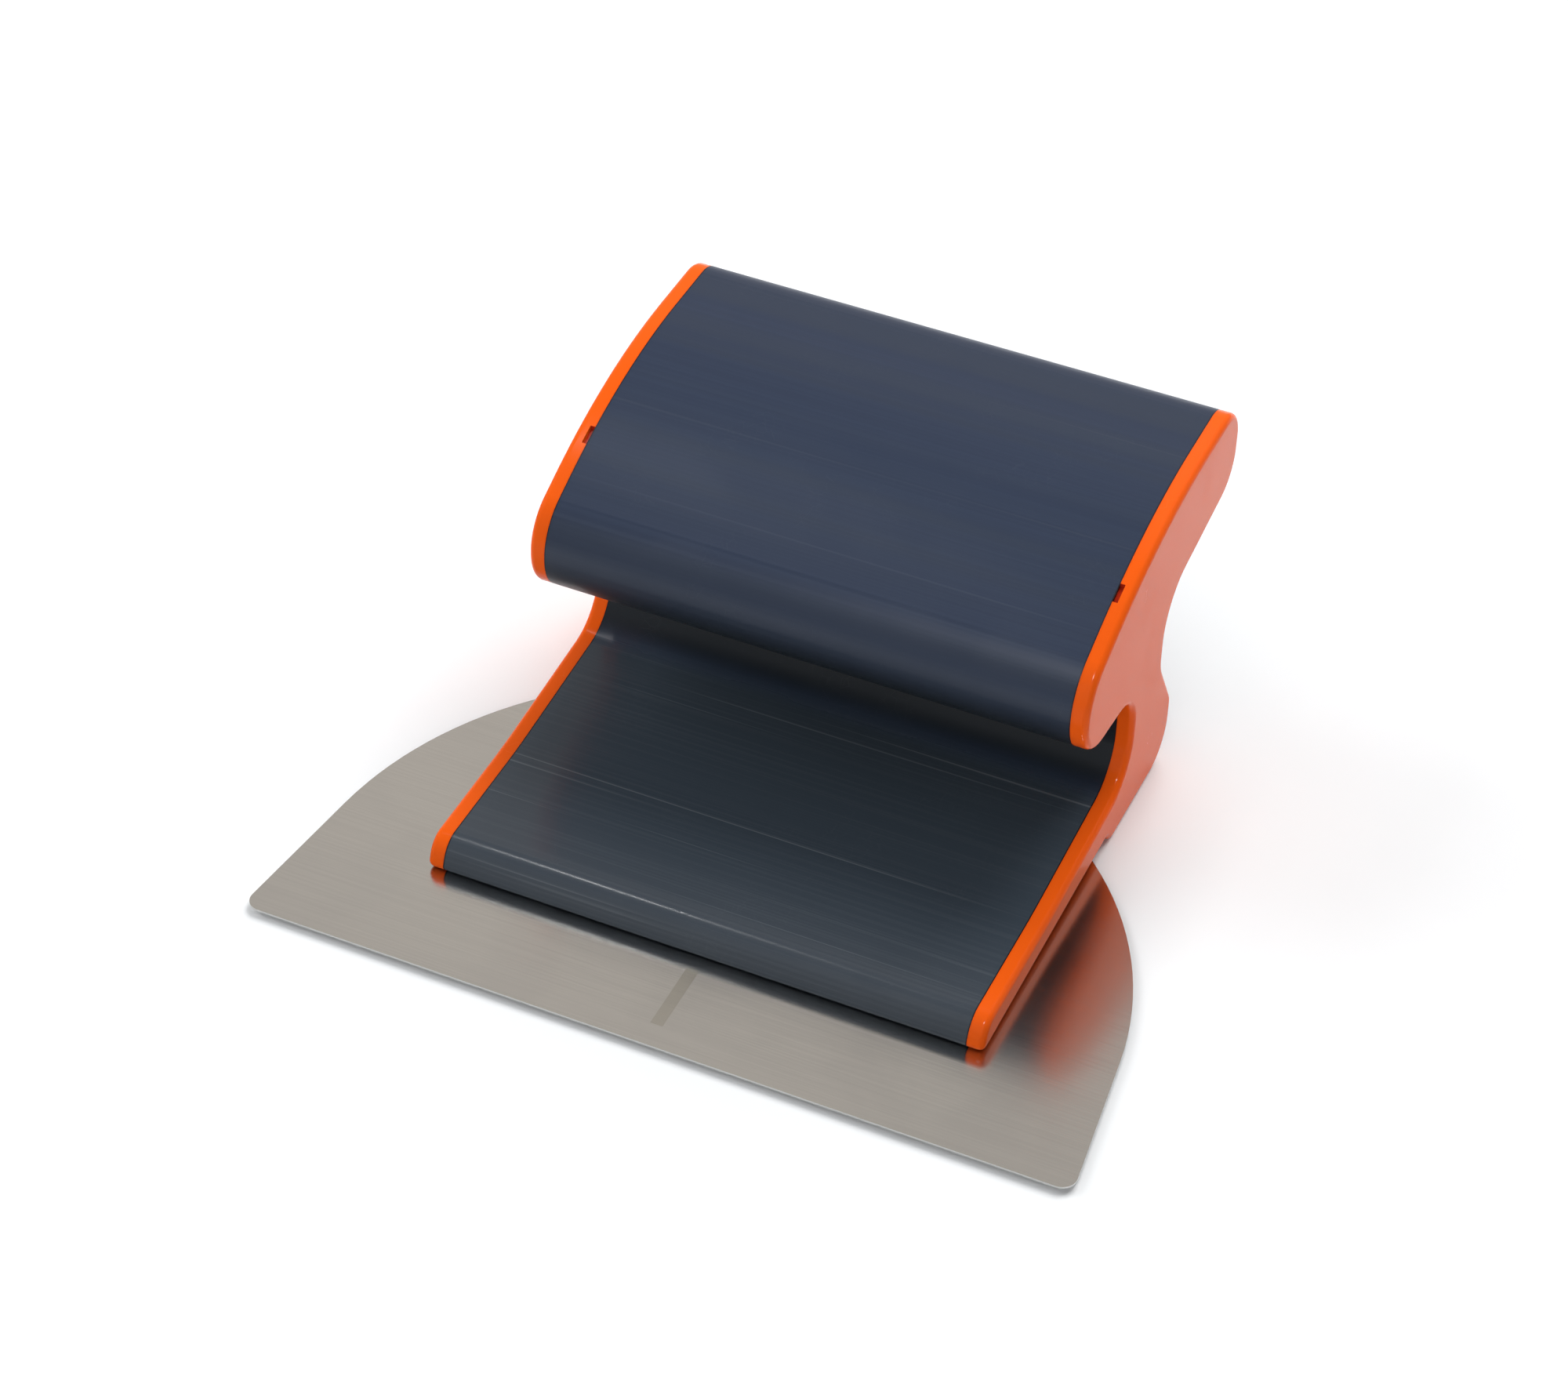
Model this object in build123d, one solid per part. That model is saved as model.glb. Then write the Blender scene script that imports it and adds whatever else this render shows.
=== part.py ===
from build123d import *
import math
import os

# Flexible putty knife: an extruded S-shaped handle, closed by two moulded end caps, holds a
# thin stainless half-moon blade that is clamped to the back of its heel.
#
# Frame, in millimetres: X runs across the tool, Y from the working edge up to the grip and
# Z out of the blade towards the grip. The tool lies on its heel, so Z = 0 is the heel's back.
# Heights along Y are named from the working edge; the finished pieces are then centred in Y.

# ---- Driving dimensions: overall ----
BODY_LENGTH = 128.0
CAP_THICKNESS = 4.0
BLADE_WIDTH = 200.0
BLADE_THICKNESS = 0.5

# ---- Driving dimensions: handle section, Y from the working edge ----
LIP_Y = 27.5
LIP_LEAN = 2.6
LIP_BACK_RADIUS = 1.8
LIP_FRONT_RADIUS = 6.0
PLATE_THICKNESS = 6.4
BLADE_RELIEF = 1.7
LIP_GAP = 0.3
PLATE_BEND_Y = 65.2
PLATE_BEND_RADIUS = 150.0
PLATE_RISE = 3.7
GAP_TOP_Y = 114.4
GAP_WIDTH = 25.5
GAP_RADIUS = 12.0
NOSE_Y = 80.6
NOSE_LEAN = 3.7
NOSE_DEPTH = 20.7
NOSE_RADIUS = 13.0
GRIP_LEAN_DEG = 24.0
GRIP_FRONT_Z = 81.1
GRIP_FRONT_RADIUS = 137.0
GRIP_TOP_Y = 173.8
GRIP_TOP_DEPTH = 22.4
GRIP_TOP_RADIUS = 10.0
WAIST_Y = 131.8
WAIST_FRONT_Z = 51.6
WAIST_FRONT_RADIUS = 13.0
WAIST_BACK_Z = 33.0
WAIST_BACK_RADIUS = 12.0
SHOULDER_Y = 141.8
SHOULDER_Z = 16.0
SHOULDER_RADIUS = 6.0
HEEL_RADIUS = 10.5
HEEL_FOOT_Y = 105.5
HEEL_FOOT_RADIUS = 2.0
HEEL_STEP_RUN = 3.0

# ---- Driving dimensions: walls, ribs and caps ----
WALL = 2.0
RIB = 1.6
PLATE_RIB_PITCH = 12.5
PLATE_RIBS = 5
PLATE_RIB_Y = 40.5
HEEL_WEB_Z = 22.0
NECK_WEB_Z = 35.5
NOSE_WEB_Y = 109.0
GRIP_WEB_Y = 143.0
CAP_RIM_RADIUS = 1.5
LUG_DEPTH = 9.0
LUG_WALL = 1.8
LUG_FIT = 0.15
LUG_MIN_AREA = 60.0
NOTCH_Y = 104.8
NOTCH_LENGTH = 4.6
NOTCH_DEPTH = 1.0
NOTCH_WIDTH = 1.2

# ---- Driving dimensions: blade and its clamp ----
CORNER_RADIUS = 3.5
FLANK_LOW_Y = 39.4
FLANK_TAPER = 4.5
BLADE_ARC_MID = (83.5, 75.4)
TONGUE_HALF_WIDTH = 52.0
TONGUE_Y = 107.4
TONGUE_RADIUS = 4.0
PLATE_LOW_Y = 106.7
CLAMP_HEIGHT = 22.0
CLAMP_THICKNESS = 1.2
CLAMP_CORNER_RADIUS = 2.0
CLAMP_END_GAP = 0.3
SEAT_GAP = 0.3
HEEL_FLOOR = 2.6
NUT_BAR_WIDTH = 12.0
NUT_BAR_THICKNESS = 3.0
NUT_BAR_LENGTH = 104.0
NUT_BAR_GAP = 0.2
SCREW_COUNT = 4
SCREW_PITCH = 28.0
SCREW_RADIUS = 2.0
SCREW_HEAD_RADIUS = 3.4
SCREW_HOLE_RADIUS = 2.3
SCREW_TAIL = 1.0
SCREW_FIT = 0.03
SOCKET_RADIUS = 1.25
SOCKET_DEPTH = 1.6

# ---- Derived places ----
HALF_BODY = BODY_LENGTH / 2
SEAT_Z = CLAMP_THICKNESS + BLADE_THICKNESS
PLATE_BACK_Z = SEAT_Z + BLADE_RELIEF
LIP_BACK_Z = SEAT_Z + LIP_GAP
PLATE_FRONT_Z = PLATE_BACK_Z + PLATE_THICKNESS
GAP_FLOOR_Z = PLATE_FRONT_Z + PLATE_RISE
GAP_ROOF_Z = GAP_FLOOR_Z + GAP_WIDTH
NOSE_BACK_Z = GAP_ROOF_Z + NOSE_LEAN
NOSE_FRONT_Z = NOSE_BACK_Z + NOSE_DEPTH
GRIP_BEND_Y = NOSE_Y + (GRIP_FRONT_Z - NOSE_FRONT_Z) / math.tan(math.radians(GRIP_LEAN_DEG))
FLOOR_Z = SEAT_Z + HEEL_FLOOR
CLAMP_TOP_Y = PLATE_LOW_Y + CLAMP_HEIGHT
SCREW_Y = PLATE_LOW_Y + CLAMP_HEIGHT / 2
BLADE_TOP_Y = CLAMP_TOP_Y - SEAT_GAP
SCREW_LENGTH = FLOOR_Z + NUT_BAR_THICKNESS + SCREW_TAIL
LOW_END = (Align.CENTER, Align.CENTER, Align.MIN)
FILLET_ROOM = 0.99

# The S-shaped section as corners: Y, Z and the radius that rounds each one.
SECTION = [
    (LIP_Y, LIP_BACK_Z, LIP_BACK_RADIUS),
    (LIP_Y + LIP_LEAN, PLATE_FRONT_Z, LIP_FRONT_RADIUS),
    (PLATE_BEND_Y, PLATE_FRONT_Z, PLATE_BEND_RADIUS),
    (GAP_TOP_Y, GAP_FLOOR_Z, GAP_RADIUS),
    (GAP_TOP_Y, GAP_ROOF_Z, GAP_RADIUS),
    (NOSE_Y, NOSE_BACK_Z, NOSE_RADIUS),
    (NOSE_Y, NOSE_FRONT_Z, NOSE_RADIUS),
    (GRIP_BEND_Y, GRIP_FRONT_Z, GRIP_FRONT_RADIUS),
    (GRIP_TOP_Y, GRIP_FRONT_Z, GRIP_TOP_RADIUS),
    (GRIP_TOP_Y, GRIP_FRONT_Z - GRIP_TOP_DEPTH, GRIP_TOP_RADIUS),
    (WAIST_Y, WAIST_FRONT_Z, WAIST_FRONT_RADIUS),
    (WAIST_Y, WAIST_BACK_Z, WAIST_BACK_RADIUS),
    (SHOULDER_Y, SHOULDER_Z, SHOULDER_RADIUS),
    (SHOULDER_Y, 0, HEEL_RADIUS),
    (HEEL_FOOT_Y, 0, HEEL_FOOT_RADIUS),
    (HEEL_FOOT_Y - HEEL_STEP_RUN, PLATE_BACK_Z, HEEL_FOOT_RADIUS),
]


def inset_corner(before, corner, after, inset):
    """One corner of the section moved inwards by inset, with the radius that keeps the wall even."""
    run_in = Vector(corner[0] - before[0], corner[1] - before[1]).normalized()
    run_out = Vector(after[0] - corner[0], after[1] - corner[1]).normalized()
    turn = run_in.X * run_out.Y - run_in.Y * run_out.X
    shift = inset / (1 + run_in.dot(run_out))
    y = corner[0] + shift * (run_in.Y + run_out.Y)
    z = corner[1] - shift * (run_in.X + run_out.X)
    radius = corner[2] + inset if turn > 0 else corner[2] - inset
    return (y, z), max(radius, 0)


def fitted_radii(points, radii):
    """The radii, shrunk where two roundings would meet on the edge between them."""
    count = len(points)
    runs = [Vector(*points[(i + 1) % count]) - Vector(*points[i]) for i in range(count)]
    slopes = [math.tan(math.radians(runs[i - 1].get_angle(runs[i])) / 2) for i in range(count)]
    fitted = list(radii)
    for i in range(count):
        after = (i + 1) % count
        needed = radii[i] * slopes[i] + radii[after] * slopes[after]
        shrink = min(1, FILLET_ROOM * runs[i].length / needed) if needed else 1
        fitted[i] = min(fitted[i], radii[i] * shrink)
        fitted[after] = min(fitted[after], radii[after] * shrink)
    return fitted


def section(inset=0):
    """The handle's section in the YZ plane, drawn inset from its outer face."""
    around = zip(SECTION[-1:] + SECTION[:-1], SECTION, SECTION[1:] + SECTION[:1])
    corners = [inset_corner(before, corner, after, inset) for before, corner, after in around]
    points = [point for point, _ in corners]
    radii = fitted_radii(points, [radius for _, radius in corners])
    return Plane.YZ * make_face(FilletPolyline(*points, radius=radii, close=True))


def strip(y_low, y_high, z_low, z_high):
    """A rectangle in the section's plane, given by its edges."""
    middle = Location(((y_low + y_high) / 2, (z_low + z_high) / 2))
    return Plane.YZ * middle * Rectangle(y_high - y_low, z_high - z_low)


def webs(grow=0):
    """What divides the hollow handle: plate ribs, heel floor, nut guides and cross webs."""
    half_rib = RIB / 2 + grow
    nut_side = NUT_BAR_WIDTH / 2 + NUT_BAR_GAP + RIB / 2
    guide_top = FLOOR_Z + NUT_BAR_THICKNESS + grow
    walls = [strip(HEEL_FOOT_Y, SHOULDER_Y, 0, FLOOR_Z + grow)]
    for i in range(PLATE_RIBS):
        rib_y = PLATE_RIB_Y + i * PLATE_RIB_PITCH
        walls.append(strip(rib_y - half_rib, rib_y + half_rib, 0, GAP_FLOOR_Z))
    walls.append(strip(HEEL_FOOT_Y - half_rib, HEEL_FOOT_Y + half_rib, 0, GAP_FLOOR_Z))
    for guide_y in (SCREW_Y - nut_side, SCREW_Y + nut_side):
        walls.append(strip(guide_y - half_rib, guide_y + half_rib, 0, guide_top))
    for web_z in (HEEL_WEB_Z, NECK_WEB_Z):
        walls.append(strip(HEEL_FOOT_Y, SHOULDER_Y, web_z - half_rib, web_z + half_rib))
    for web_y in (NOSE_WEB_Y, GRIP_WEB_Y):
        walls.append(strip(web_y - half_rib, web_y + half_rib, NECK_WEB_Z, GRIP_FRONT_Z))
    return walls


def chambers(fit=0):
    """The hollows of the handle, drawn smaller all round by fit for what plugs into them."""
    return section(WALL + fit) - webs(fit)


def at_screws(tool):
    """Copies of a screw-sized solid at each clamp screw."""
    xs = [(i - (SCREW_COUNT - 1) / 2) * SCREW_PITCH for i in range(SCREW_COUNT)]
    return [Pos(x, SCREW_Y, 0) * tool for x in xs]


def drill(radius, top_z=SCREW_LENGTH + 1):
    """A drill along Z, from under the heel up to top_z."""
    return Pos(0, 0, -1) * Cylinder(radius, top_z + 1, align=LOW_END)


def make_handle_body():
    """Extruded hollow profile, with the recess and holes for the blade clamp in its heel."""
    recess = strip(HEEL_FOOT_Y - HEEL_STEP_RUN, CLAMP_TOP_Y, -1, SEAT_Z)
    profile = section() - recess - chambers()
    body = extrude(profile, HALF_BODY, both=True)
    return body - at_screws(drill(SCREW_HOLE_RADIUS, FLOOR_Z + 1))


def make_right_end_cap():
    """Moulded cover of the whole section: rounded rim, pry notch, and hollow lugs that plug in."""
    cover = extrude(section(), CAP_THICKNESS)
    outer_face = cover.faces().sort_by(Axis.X)[-1]
    cover = fillet(outer_face.edges(), CAP_RIM_RADIUS)
    rim = section() - section(NOTCH_DEPTH)
    half_notch = NOTCH_LENGTH / 2
    notch = rim & strip(NOTCH_Y - half_notch, NOTCH_Y + half_notch, WAIST_FRONT_Z, GRIP_FRONT_Z)
    cover -= extrude(notch, NOTCH_WIDTH)
    lugs = [lug(chamber) for chamber in chambers(LUG_FIT).faces() if chamber.area > LUG_MIN_AREA]
    return Pos(HALF_BODY, 0, 0) * (cover + lugs)


def lug(chamber):
    """One hollow plug, its wall following the chamber it goes into."""
    ring = chamber - offset(chamber, -LUG_WALL)
    return extrude(ring, -LUG_DEPTH)


def make_blade():
    """Half-moon sheet: straight working edge, tapered flanks, round shoulders and a tongue."""
    half = BLADE_WIDTH / 2
    low_corner = (half, 0)
    flank_top = (half - FLANK_TAPER, FLANK_LOW_Y)
    tongue_root = (TONGUE_HALF_WIDTH, TONGUE_Y)
    right_side = Curve() + [
        Line((0, 0), low_corner),
        Line(low_corner, flank_top),
        ThreePointArc(flank_top, BLADE_ARC_MID, tongue_root),
        Line(tongue_root, (TONGUE_HALF_WIDTH, BLADE_TOP_Y)),
        Line((TONGUE_HALF_WIDTH, BLADE_TOP_Y), (0, BLADE_TOP_Y)),
    ]
    outline = make_face(right_side + mirror(right_side, Plane.YZ))
    low_corners = outline.vertices().group_by(Axis.Y)[0].filter_by(lambda v: abs(v.X) > 1)
    outline = fillet(low_corners, CORNER_RADIUS)
    top_corners = outline.vertices().group_by(Axis.Y)[-1].filter_by(lambda v: abs(v.X) > 1)
    outline = fillet(top_corners, TONGUE_RADIUS)
    sheet = Pos(0, 0, CLAMP_THICKNESS) * extrude(outline, BLADE_THICKNESS)
    return sheet - at_screws(drill(SCREW_HOLE_RADIUS))


def screw_head(fit=0):
    """A 90 degree countersunk cone that opens at the heel's back, grown by fit."""
    height = SCREW_HEAD_RADIUS - SCREW_RADIUS
    return Cone(SCREW_HEAD_RADIUS + fit, SCREW_RADIUS + fit, height, align=LOW_END)


def make_clamp_plate():
    """Steel strip that presses the blade against the heel, countersunk for its screws."""
    width = BODY_LENGTH - 2 * CLAMP_END_GAP
    height = CLAMP_HEIGHT - SEAT_GAP
    outline = Pos(0, PLATE_LOW_Y + height / 2) * RectangleRounded(width, height, CLAMP_CORNER_RADIUS)
    plate = extrude(outline, CLAMP_THICKNESS)
    return plate - at_screws(drill(SCREW_HOLE_RADIUS)) - at_screws(screw_head(SCREW_FIT))


def make_nut_bar():
    """Threaded bar that lies on the heel floor, inside the handle, and takes the screws."""
    middle_z = FLOOR_Z + NUT_BAR_THICKNESS / 2
    bar = Pos(0, SCREW_Y, middle_z) * Box(NUT_BAR_LENGTH, NUT_BAR_WIDTH, NUT_BAR_THICKNESS)
    return bar - at_screws(drill(SCREW_RADIUS + SCREW_FIT))


def make_screw():
    """Countersunk machine screw with a hexagon socket, pointing up from the heel's back."""
    shank = Cylinder(SCREW_RADIUS, SCREW_LENGTH, align=LOW_END)
    socket = extrude(RegularPolygon(SOCKET_RADIUS, 6, major_radius=False), SOCKET_DEPTH)
    return shank + screw_head() - socket


right_end_cap = make_right_end_cap()
nodes = {
    "handle_body": make_handle_body(),
    "right_end_cap": right_end_cap,
    "left_end_cap": mirror(right_end_cap, Plane.YZ),
    "blade": make_blade(),
    "clamp_plate": make_clamp_plate(),
    "nut_bar": make_nut_bar(),
}
for number, screw in enumerate(at_screws(make_screw()), start=1):
    nodes[f"clamp_screw_{number}"] = screw

os.makedirs("parts", exist_ok=True)
for name, solid in nodes.items():
    export_step(Pos(0, -GRIP_TOP_Y / 2, 0) * solid, f"parts/{name}.step")
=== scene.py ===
import math
import bpy
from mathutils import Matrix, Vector


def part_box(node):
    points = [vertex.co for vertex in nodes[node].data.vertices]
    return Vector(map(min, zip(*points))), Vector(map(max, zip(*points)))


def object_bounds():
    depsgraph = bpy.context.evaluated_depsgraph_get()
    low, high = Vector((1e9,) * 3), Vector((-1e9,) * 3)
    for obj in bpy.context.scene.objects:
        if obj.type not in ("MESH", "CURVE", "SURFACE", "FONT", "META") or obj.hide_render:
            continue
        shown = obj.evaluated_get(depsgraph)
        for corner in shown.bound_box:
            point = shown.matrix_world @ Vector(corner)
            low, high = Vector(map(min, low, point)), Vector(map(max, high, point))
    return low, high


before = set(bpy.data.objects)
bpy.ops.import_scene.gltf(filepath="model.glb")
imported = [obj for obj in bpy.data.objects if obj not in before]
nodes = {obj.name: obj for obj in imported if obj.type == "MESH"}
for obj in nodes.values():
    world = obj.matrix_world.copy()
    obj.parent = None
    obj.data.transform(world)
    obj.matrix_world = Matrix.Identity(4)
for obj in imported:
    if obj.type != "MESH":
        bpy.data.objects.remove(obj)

cad_low, cad_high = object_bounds()

# ---------------------------------------------------------------------------------------------
# Handle body. A hollow S-shaped profile of rigid slate-blue plastic, pushed through a die and
# cut to length. The die leaves fine straight lines along X and a slow waviness across them.
# ---------------------------------------------------------------------------------------------


def add(tree, kind, **settings):
    """One shader node with its settings."""
    node = tree.nodes.new(kind)
    for name, value in settings.items():
        setattr(node, name, value)
    return node


def plug(tree, source, target):
    """A link from an output socket to an input socket."""
    tree.links.new(source, target)


def math_node(tree, operation, first, second=None):
    """A Math node; each operand is a socket or a number. Returns its output."""
    node = add(tree, "ShaderNodeMath", operation=operation)
    for index, value in enumerate((first, second)):
        if value is None:
            continue
        if isinstance(value, (int, float)):
            node.inputs[index].default_value = value
        else:
            plug(tree, value, node.inputs[index])
    return node.outputs[0]


def ramp(tree, value, low, high, low_out=0.0, high_out=1.0):
    """A smooth step of value from low to high."""
    node = add(tree, "ShaderNodeMapRange", interpolation_type="SMOOTHSTEP")
    plug(tree, value, node.inputs["Value"])
    node.inputs["From Min"].default_value = low
    node.inputs["From Max"].default_value = high
    node.inputs["To Min"].default_value = low_out
    node.inputs["To Max"].default_value = high_out
    return node.outputs["Result"]


def tint(tree, mask, under, over, blend_type="MIX"):
    """Colour under, covered by colour over where mask is 1. Each colour is a socket or RGB."""
    node = add(tree, "ShaderNodeMix", data_type="RGBA", blend_type=blend_type)
    plug(tree, mask, node.inputs["Factor"])
    for index, colour in ((6, under), (7, over)):
        if isinstance(colour, tuple):
            node.inputs[index].default_value = (*colour, 1)
        else:
            plug(tree, colour, node.inputs[index])
    return node.outputs[2]


def new_group(name, inputs, outputs):
    """A shader node group with named sockets. Returns its tree and its two end nodes."""
    tree = bpy.data.node_groups.new(name, "ShaderNodeTree")
    for socket_name, kind, value in inputs:
        socket = tree.interface.new_socket(socket_name, in_out="INPUT", socket_type=kind)
        if value is not None:
            socket.default_value = value
    for socket_name in outputs:
        tree.interface.new_socket(socket_name, in_out="OUTPUT", socket_type="NodeSocketFloat")
    return tree, add(tree, "NodeGroupInput"), add(tree, "NodeGroupOutput")


def use_group(tree, group, **values):
    """The group placed in a material with its own values, named with _ for each space."""
    node = add(tree, "ShaderNodeGroup", node_tree=group)
    for name, value in values.items():
        node.inputs[name.replace("_", " ")].default_value = value
    return node


def new_material(name):
    """A material with an empty tree: returns it, its tree, its shader and object coordinates."""
    material = bpy.data.materials.new(name)
    material.use_nodes = True
    tree = material.node_tree
    shader = tree.nodes["Principled BSDF"]
    coords = add(tree, "ShaderNodeTexCoord").outputs["Object"]
    return material, tree, shader, coords


def bump_into(tree, shader, height, distance):
    """Surface relief from a height of about 0 to 1, distance metres deep."""
    node = add(tree, "ShaderNodeBump")
    node.inputs["Strength"].default_value = 1.0
    node.inputs["Distance"].default_value = distance
    plug(tree, height, node.inputs["Height"])
    plug(tree, node.outputs["Normal"], shader.inputs["Normal"])


def times(tree, first, second):
    """The product of two sockets or numbers, such as one mask inside another."""
    return math_node(tree, "MULTIPLY", first, second)


def plus(tree, first, second):
    """The sum of two sockets or numbers."""
    return math_node(tree, "ADD", first, second)


def parts_of(tree, vector):
    """The X, Y and Z outputs of a vector socket, by name."""
    split = add(tree, "ShaderNodeSeparateXYZ")
    plug(tree, vector, split.inputs[0])
    return split.outputs


def dress(material, *names):
    """Puts one material on each named CAD node."""
    for name in names:
        mesh = nodes[name].data
        mesh.materials.clear()
        mesh.materials.append(material)


# Lines drawn along X by a die or a rolling mill: dense fine ones, and a few that stand out.
drawn_lines, lines_in, lines_out = new_group(
    "drawn lines",
    [
        ("Vector", "NodeSocketVector", None),
        ("Fine Scale", "NodeSocketFloat", 1400.0),
        ("Run", "NodeSocketFloat", 6.0),
    ],
    ["Fine", "Bold", "Wave"],
)
BOLD_SHARE = 0.60
BOLD_RUN = 5.0
WAVE_SCALE = 95.0
WAVE_RUN = 0.6
grain_at = parts_of(drawn_lines, lines_in.outputs["Vector"])


def line_noise(across, along, detail):
    """Noise stretched along X: across features per metre over YZ, along per metre over X."""
    join = add(drawn_lines, "ShaderNodeCombineXYZ")
    for axis, per_metre in (("X", along), ("Y", across), ("Z", across)):
        plug(drawn_lines, times(drawn_lines, grain_at[axis], per_metre), join.inputs[axis])
    noise = add(drawn_lines, "ShaderNodeTexNoise", noise_dimensions="3D")
    noise.inputs["Scale"].default_value = 1.0
    noise.inputs["Detail"].default_value = detail
    noise.inputs["Roughness"].default_value = 0.5
    plug(drawn_lines, join.outputs[0], noise.inputs["Vector"])
    return noise.outputs["Fac"]


fine = line_noise(lines_in.outputs["Fine Scale"], lines_in.outputs["Run"], 1.5)
bold = line_noise(times(drawn_lines, lines_in.outputs["Fine Scale"], BOLD_SHARE), BOLD_RUN, 1.0)
plug(drawn_lines, fine, lines_out.inputs["Fine"])
plug(drawn_lines, ramp(drawn_lines, bold, 0.66, 0.80), lines_out.inputs["Bold"])
plug(drawn_lines, line_noise(WAVE_SCALE, WAVE_RUN, 1.0), lines_out.inputs["Wave"])

# Handling: soft cloudy smudges, and short faint scuffs that run in every direction.
SCUFF_WIDTH = 0.035
SCUFF_PATCHES = 60.0
handling, marks_in, marks_out = new_group(
    "handling",
    [
        ("Vector", "NodeSocketVector", None),
        ("Smudge Scale", "NodeSocketFloat", 45.0),
        ("Scuff Scale", "NodeSocketFloat", 420.0),
    ],
    ["Smudge", "Scuff"],
)
cloud = add(handling, "ShaderNodeTexNoise")
cloud.inputs["Detail"].default_value = 4.0
cloud.inputs["Distortion"].default_value = 0.6
plug(handling, marks_in.outputs["Vector"], cloud.inputs["Vector"])
plug(handling, marks_in.outputs["Smudge Scale"], cloud.inputs["Scale"])
plug(handling, ramp(handling, cloud.outputs["Fac"], 0.42, 0.68), marks_out.inputs["Smudge"])
cells = add(handling, "ShaderNodeTexVoronoi", feature="DISTANCE_TO_EDGE")
plug(handling, marks_in.outputs["Vector"], cells.inputs["Vector"])
plug(handling, marks_in.outputs["Scuff Scale"], cells.inputs["Scale"])
scratches = ramp(handling, cells.outputs["Distance"], 0.0, SCUFF_WIDTH, 1.0, 0.0)
patch = add(handling, "ShaderNodeTexNoise")
patch.inputs["Scale"].default_value = SCUFF_PATCHES
plug(handling, marks_in.outputs["Vector"], patch.inputs["Vector"])
where = ramp(handling, patch.outputs["Fac"], 0.56, 0.66)
plug(handling, times(handling, scratches, where), marks_out.inputs["Scuff"])

SLATE = (0.0175, 0.0270, 0.0530)
SLATE_LIGHT = (0.0200, 0.0305, 0.0580)
SLATE_SHEEN = (0.0240, 0.0325, 0.0510)
SLATE_PAINTED_SHADE = (0.0090, 0.0120, 0.0160)
PLATE_SHADED_NEAR_GRIP = (0.0385, 0.0500, 0.0640)
PLATE_LIT_NEAR_LIP = (0.0440, 0.0530, 0.0650)
SLATE_LINE = (0.15, 0.165, 0.18)
JOINT_DARK = (0.006, 0.006, 0.008)
FINE_LINES_SHARE = 0.06
LONG_LINES_ON_GRIP = 0.05
LONG_LINES_ON_PLATE = 0.55
SCUFFS_SHARE = 0.04
SLATE_SPECULAR = 0.32
GRIP_ROUGHNESS = 0.32
PLATE_ROUGHNESS = 0.14
SLATE_RELIEF = 0.00012
PLATE_TOP_Z = 0.0185
PLATE_END_Y = 0.024
LIP_SIDE_Y = (-0.058, -0.022)
GAP_ROOF_Z = 0.039
GAP_END_Y = 0.030
SHARP = 0.0001
body_end_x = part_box("handle_body")[1].x

slate, tree, shader, coords = new_material("slate extruded plastic")
shader.inputs["Specular IOR Level"].default_value = SLATE_SPECULAR
lines = use_group(tree, drawn_lines)
marks = use_group(tree, handling)
plug(tree, coords, lines.inputs["Vector"])
plug(tree, coords, marks.inputs["Vector"])
colour = tint(tree, ramp(tree, lines.outputs["Fine"], 0.35, 0.7), SLATE, SLATE_LIGHT)
# Broad lighter, warmer bands along the grip, placed where the slow wave noise rises: painted sheen.
sheen_bands = ramp(tree, lines.outputs["Wave"], 0.45, 0.68, 0.0, 0.55)
colour = tint(tree, sheen_bands, colour, SLATE_SHEEN)
place = parts_of(tree, coords)
plate = times(
    tree,
    ramp(tree, place["Y"], PLATE_END_Y - 0.010, PLATE_END_Y, 1.0, 0.0),
    ramp(tree, place["Z"], PLATE_TOP_Z + 0.004, PLATE_TOP_Z + 0.020, 1.0, 0.0),
)
# On the plate, darker near the bend under the grip and paler towards the lip: painted shade from the
# grip overhead.
towards_lip = ramp(tree, place["Y"], *LIP_SIDE_Y, 1.0, 0.0)
colour = tint(tree, plate, colour, tint(tree, towards_lip, PLATE_SHADED_NEAR_GRIP, PLATE_LIT_NEAR_LIP))
# Darker on the nose's lower side and the inner wall of the gap under it: painted shade.
depth = ramp(tree, place["Y"], GAP_END_Y - 0.012, GAP_END_Y - 0.006)
under_nose = ramp(tree, place["Z"], PLATE_TOP_Z + 0.012, PLATE_TOP_Z + 0.018)
depth = math_node(tree, "MAXIMUM", depth, under_nose)
below_nose = ramp(tree, place["Z"], GAP_ROOF_Z + 0.007, GAP_ROOF_Z + 0.019, 1.0, 0.0)
in_gap = ramp(tree, place["Y"], GAP_END_Y, GAP_END_Y + 0.004, 1.0, 0.0)
gap_painted_shade = times(tree, times(tree, depth, below_nose), in_gap)
colour = tint(tree, gap_painted_shade, colour, SLATE_PAINTED_SHADE)
drawn = times(tree, ramp(tree, lines.outputs["Fine"], 0.45, 0.75), plate)
colour = tint(tree, times(tree, drawn, FINE_LINES_SHARE), colour, SLATE_LINE)
long_share = ramp(tree, plate, 0.0, 1.0, LONG_LINES_ON_GRIP, LONG_LINES_ON_PLATE)
long_lines = times(tree, lines.outputs["Bold"], long_share)
colour = tint(tree, long_lines, colour, SLATE_LINE)
colour = tint(tree, times(tree, marks.outputs["Scuff"], SCUFFS_SHARE), colour, SLATE_LINE)
end = math_node(tree, "ABSOLUTE", place["X"])
colour = tint(tree, ramp(tree, end, body_end_x - 4 * SHARP, body_end_x - SHARP), colour, JOINT_DARK)
plug(tree, colour, shader.inputs["Base Color"])
rough = ramp(tree, plate, 0.0, 1.0, GRIP_ROUGHNESS, PLATE_ROUGHNESS)
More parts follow.
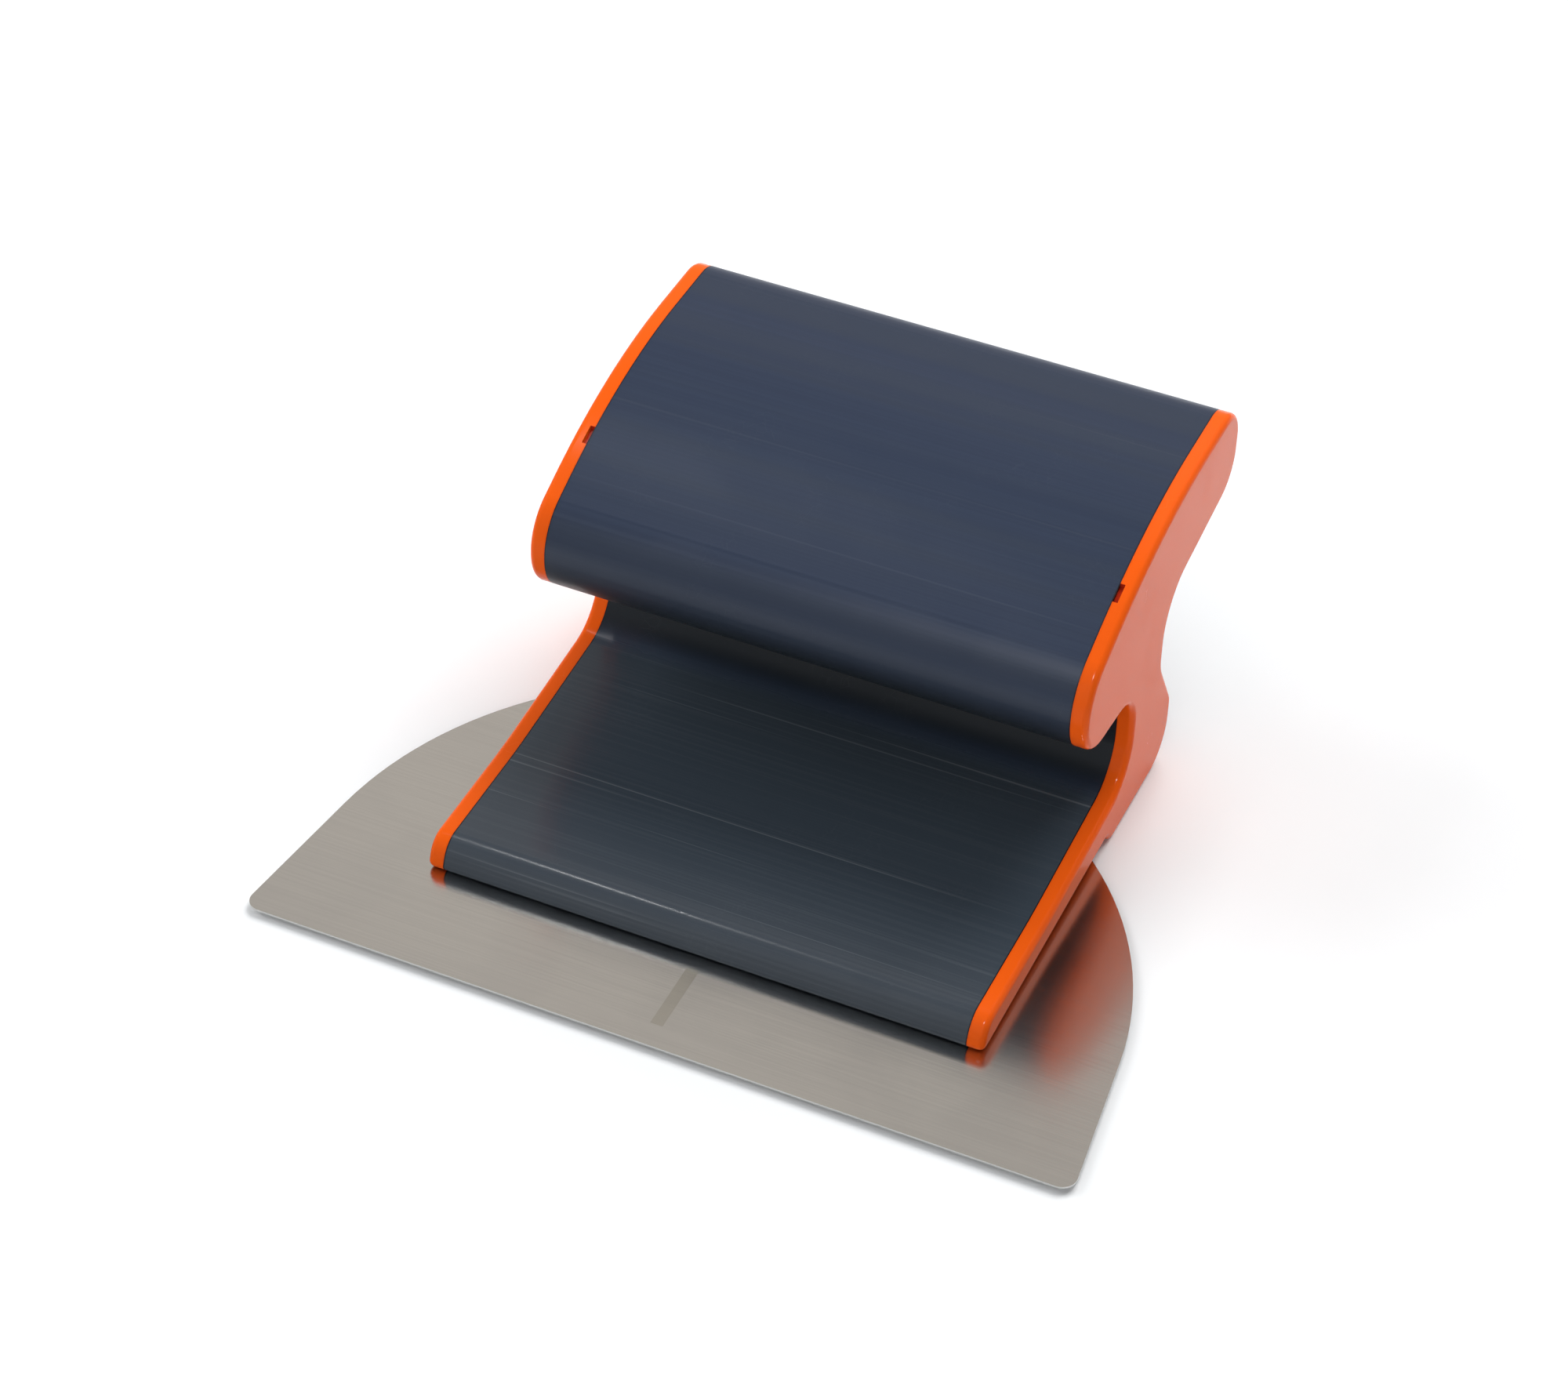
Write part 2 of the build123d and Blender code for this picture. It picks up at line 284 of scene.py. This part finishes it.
rough = plus(tree, rough, times(tree, lines.outputs["Fine"], 0.10))
rough = plus(tree, rough, times(tree, marks.outputs["Smudge"], 0.05))
plug(tree, rough, shader.inputs["Roughness"])
relief = plus(tree, times(tree, lines.outputs["Fine"], 0.03), lines.outputs["Wave"])
relief = plus(tree, relief, times(tree, lines.outputs["Bold"], 0.02))
bump_into(tree, shader, relief, SLATE_RELIEF)
dress(slate, "handle_body")

# ---------------------------------------------------------------------------------------------
# End caps. Each is one orange moulding: a cover as thick as a coin edge with a rounded rim, and
# hollow lugs pressed into the ends of the profile. The mould leaves a faint orange peel.
# ---------------------------------------------------------------------------------------------

ORANGE = (0.76, 0.096, 0.006)
ORANGE_DEEP = (0.69, 0.080, 0.004)
ORANGE_RUBBED = (0.78, 0.120, 0.014)
NOTCH_PAINTED_SHADE = (0.40, 0.022, 0.006)
NOTCH_Y = 0.0179
NOTCH_HALF = 0.0023
NOTCH_DEPTH = 0.0011
CAP_SPECULAR = 0.08
CAP_ROUGHNESS = 0.14
PEEL_SCALE = 900.0
PEEL_RELIEF = 0.000005

orange, tree, shader, coords = new_material("orange moulded plastic")
shader.inputs["Specular IOR Level"].default_value = CAP_SPECULAR
marks = use_group(tree, handling, Smudge_Scale=70.0, Scuff_Scale=300.0)
plug(tree, coords, marks.inputs["Vector"])
peel = add(tree, "ShaderNodeTexNoise")
peel.inputs["Scale"].default_value = PEEL_SCALE
peel.inputs["Detail"].default_value = 1.0
plug(tree, coords, peel.inputs["Vector"])
colour = tint(tree, times(tree, marks.outputs["Smudge"], 0.15), ORANGE, ORANGE_DEEP)
colour = tint(tree, times(tree, marks.outputs["Scuff"], 0.20), colour, ORANGE_RUBBED)
place = parts_of(tree, coords)
end = math_node(tree, "ABSOLUTE", place["X"])
grip_side = ramp(tree, place["Z"], GAP_ROOF_Z + 0.020, GAP_ROOF_Z + 0.021)
joint = ramp(tree, end, body_end_x + SHARP, body_end_x + 5 * SHARP, 0.8, 0.0)
colour = tint(tree, joint, colour, ORANGE_DEEP)
# The notch in each cap's rim beside the grip is filled with dark red: painted shade in the recess.
beside = math_node(tree, "ABSOLUTE", math_node(tree, "SUBTRACT", place["Y"], NOTCH_Y))
notch_shade = ramp(tree, beside, NOTCH_HALF, NOTCH_HALF + SHARP, 1.0, 0.0)
inner = ramp(tree, end, body_end_x + NOTCH_DEPTH, body_end_x + NOTCH_DEPTH + SHARP, 1.0, 0.0)
notch_shade = times(tree, times(tree, notch_shade, inner), grip_side)
colour = tint(tree, notch_shade, colour, NOTCH_PAINTED_SHADE)
plug(tree, colour, shader.inputs["Base Color"])
rough = plus(tree, times(tree, marks.outputs["Smudge"], 0.08), CAP_ROUGHNESS)
rough = plus(tree, rough, times(tree, marks.outputs["Scuff"], 0.12))
plug(tree, rough, shader.inputs["Roughness"])
bump_into(tree, shader, peel.outputs["Fac"], PEEL_RELIEF)
dress(orange, "left_end_cap", "right_end_cap")

# ---------------------------------------------------------------------------------------------
# Blade. Thin stainless sheet with a satin mill finish, cut to a half moon. A short bar etched
# at the middle of the working edge marks the centre.
# ---------------------------------------------------------------------------------------------

STEEL = (0.625, 0.622, 0.605)
STEEL_DULL = (0.585, 0.58, 0.565)
ETCHED = (0.545, 0.525, 0.455)
MARK_HALF_WIDTH = 0.0015
MARK_START = 0.0063
MARK_LENGTH = 0.019
STEEL_ROUGHNESS = 0.155
STEEL_RELIEF = 0.000003
blade_low, blade_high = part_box("blade")
mark_low_y = blade_low.y + MARK_START
mark_high_y = mark_low_y + MARK_LENGTH

satin, tree, shader, coords = new_material("satin stainless sheet")
shader.inputs["Metallic"].default_value = 1.0
lines = use_group(tree, drawn_lines, Fine_Scale=2600.0, Run=30.0)
marks = use_group(tree, handling, Smudge_Scale=32.0, Scuff_Scale=150.0)
plug(tree, coords, lines.inputs["Vector"])
plug(tree, coords, marks.inputs["Vector"])
place = parts_of(tree, coords)
side = math_node(tree, "ABSOLUTE", place["X"])
across = ramp(tree, side, MARK_HALF_WIDTH - SHARP, MARK_HALF_WIDTH + SHARP, 1.0, 0.0)
above = ramp(tree, place["Y"], mark_low_y - SHARP, mark_low_y + SHARP)
below = ramp(tree, place["Y"], mark_high_y - SHARP, mark_high_y + SHARP, 1.0, 0.0)
front = ramp(tree, place["Z"], blade_high.z - 2 * SHARP, blade_high.z - SHARP)
mark = times(tree, times(tree, across, above), times(tree, below, front))
colour = tint(tree, ramp(tree, lines.outputs["Fine"], 0.3, 0.7, 0.0, 0.5), STEEL, STEEL_DULL)
colour = tint(tree, times(tree, marks.outputs["Smudge"], 0.15), colour, STEEL_DULL)
colour = tint(tree, times(tree, mark, 0.6), colour, ETCHED)
plug(tree, colour, shader.inputs["Base Color"])
rough = plus(tree, times(tree, lines.outputs["Fine"], 0.05), STEEL_ROUGHNESS)
rough = plus(tree, rough, times(tree, marks.outputs["Smudge"], 0.03))
rough = plus(tree, rough, times(tree, mark, 0.05))
plug(tree, rough, shader.inputs["Roughness"])
bump_into(tree, shader, lines.outputs["Fine"], STEEL_RELIEF)
dress(satin, "blade")

# ---------------------------------------------------------------------------------------------
# Blade clamp. A stainless strip on the back of the heel, four countersunk screws through it,
# and a zinc-plated threaded bar inside the heel that they pull against.
# ---------------------------------------------------------------------------------------------

STRIP = (0.56, 0.56, 0.55)
STRIP_DULL = (0.44, 0.44, 0.43)
ZINC = (0.55, 0.57, 0.60)
ZINC_DULL = (0.42, 0.43, 0.44)
BLACKED = (0.16, 0.16, 0.165)
BLACKED_DULL = (0.09, 0.09, 0.095)
ROUGHNESS_SPREAD = 0.14
GRAIN_RELIEF = 0.00001


def plain_steel(name, bright, dull, rough, grain):
    """Machined or rolled steel: grain along X and cloudy smudges."""
    material, tree, shader, coords = new_material(name)
    shader.inputs["Metallic"].default_value = 1.0
    lines = use_group(tree, drawn_lines, Fine_Scale=grain, Run=20.0)
    marks = use_group(tree, handling, Smudge_Scale=90.0)
    plug(tree, coords, lines.inputs["Vector"])
    plug(tree, coords, marks.inputs["Vector"])
    worn = times(tree, lines.outputs["Fine"], 0.7)
    worn = plus(tree, worn, times(tree, marks.outputs["Smudge"], 0.3))
    plug(tree, tint(tree, worn, bright, dull), shader.inputs["Base Color"])
    plug(tree, ramp(tree, worn, 0.2, 0.9, rough, rough + ROUGHNESS_SPREAD), shader.inputs["Roughness"])
    bump_into(tree, shader, lines.outputs["Fine"], GRAIN_RELIEF)
    return material


dress(plain_steel("satin steel strip", STRIP, STRIP_DULL, 0.24, 3800.0), "clamp_plate")
dress(plain_steel("zinc-plated bar", ZINC, ZINC_DULL, 0.34, 1500.0), "nut_bar")
screws = [name for name in nodes if name.startswith("clamp_screw")]
dress(plain_steel("blackened screw steel", BLACKED, BLACKED_DULL, 0.28, 2600.0), *screws)

# ---------------------------------------------------------------------------------------------
# Floor, light and camera. The tool lies on its heel on a plain pale floor, in the even light of
# a white tent. Two small lights show only as highlights, on the lip and on the rims of the caps.
# ---------------------------------------------------------------------------------------------

FLOOR_SIZE = 6.0
FLOOR_GAP = 0.0001
PAPER = (0.76, 0.76, 0.76)
PAPER_BRIGHT = (0.78, 0.78, 0.78)
bpy.ops.object.select_all(action="DESELECT")
bpy.ops.mesh.primitive_plane_add(size=FLOOR_SIZE, location=(0, 0, cad_low.z - FLOOR_GAP))
floor = bpy.context.object
floor.name = "floor"
paper, tree, shader, coords = new_material("white paper")
grain = add(tree, "ShaderNodeTexNoise")
grain.inputs["Scale"].default_value = 30.0
plug(tree, coords, grain.inputs["Vector"])
plug(tree, tint(tree, grain.outputs["Fac"], PAPER, PAPER_BRIGHT), shader.inputs["Base Color"])
shader.inputs["Roughness"].default_value = 0.9
shader.inputs["Specular IOR Level"].default_value = 0.1
floor.data.materials.append(paper)

TENT_OVERHEAD = (0.20, 0.21, 0.23)
TENT_BACK = (0.655, 0.605, 0.552)
TENT_FRONT = (0.46, 0.46, 0.46)
TENT_RIGHT = (0.82, 0.83, 0.84)
world = bpy.data.worlds.new("white tent")
world.use_nodes = True
bpy.context.scene.world = world
tree = world.node_tree
background = tree.nodes["Background"]
direction = parts_of(tree, add(tree, "ShaderNodeTexCoord").outputs["Generated"])
towards_back = ramp(tree, direction["Y"], 0.36, 0.64)
glow = tint(tree, towards_back, TENT_OVERHEAD, TENT_BACK)
towards_front = ramp(tree, direction["Y"], -0.62, -0.30, 1.0, 0.0)
glow = tint(tree, towards_front, glow, TENT_FRONT)
towards_right = ramp(tree, direction["X"], -0.40, -0.05)
plug(tree, tint(tree, towards_right, glow, TENT_RIGHT, "MULTIPLY"), background.inputs["Color"])
background.inputs["Strength"].default_value = 1.0

COOL_WHITE = (0.97, 0.99, 1.0)
PURE_WHITE = (1.0, 1.0, 1.0)
AIM = Vector((0, 0, 0.03))


def softbox(name, location, size, watts, colour, mirrored=False):
    """A square area light that faces the tool: soft light only, or if mirrored a highlight only."""
    light = bpy.data.lights.new(name, "AREA")
    light.shape = "SQUARE"
    light.size = size
    light.energy = watts
    light.color = colour
    holder = bpy.data.objects.new(name, light)
    holder.location = location
    holder.rotation_euler = (AIM - Vector(location)).to_track_quat("-Z", "Y").to_euler()
    holder.visible_glossy = mirrored
    holder.visible_diffuse = not mirrored
    bpy.context.scene.collection.objects.link(holder)


softbox("back box", (0.15, 0.95, 1.20), 1.1, 27.0, COOL_WHITE)
softbox("left box", (-1.20, -0.10, 0.90), 0.9, 11.0, COOL_WHITE)
softbox("front box", (0.10, -1.35, 0.80), 0.9, 7.5, COOL_WHITE)
softbox("spark", (-0.45, 0.20, 1.20), 0.06, 0.85, PURE_WHITE, mirrored=True)
softbox("front spark", (0.12, -0.54, 1.07), 0.06, 7.0, PURE_WHITE, mirrored=True)

CAMERA_PLACE = (0.27616, -0.65405, 0.65654)
CAMERA_TURN_DEG = (48.827, -1.170, 24.412)
CAMERA_LENS = 95.825
camera = bpy.data.objects.new("camera", bpy.data.cameras.new("camera"))
camera.data.lens = CAMERA_LENS
camera.data.clip_start = 0.01
camera.location = CAMERA_PLACE
camera.rotation_euler = [math.radians(angle) for angle in CAMERA_TURN_DEG]
bpy.context.scene.collection.objects.link(camera)
bpy.context.scene.camera = camera
bpy.context.scene.view_settings.view_transform = "Standard"
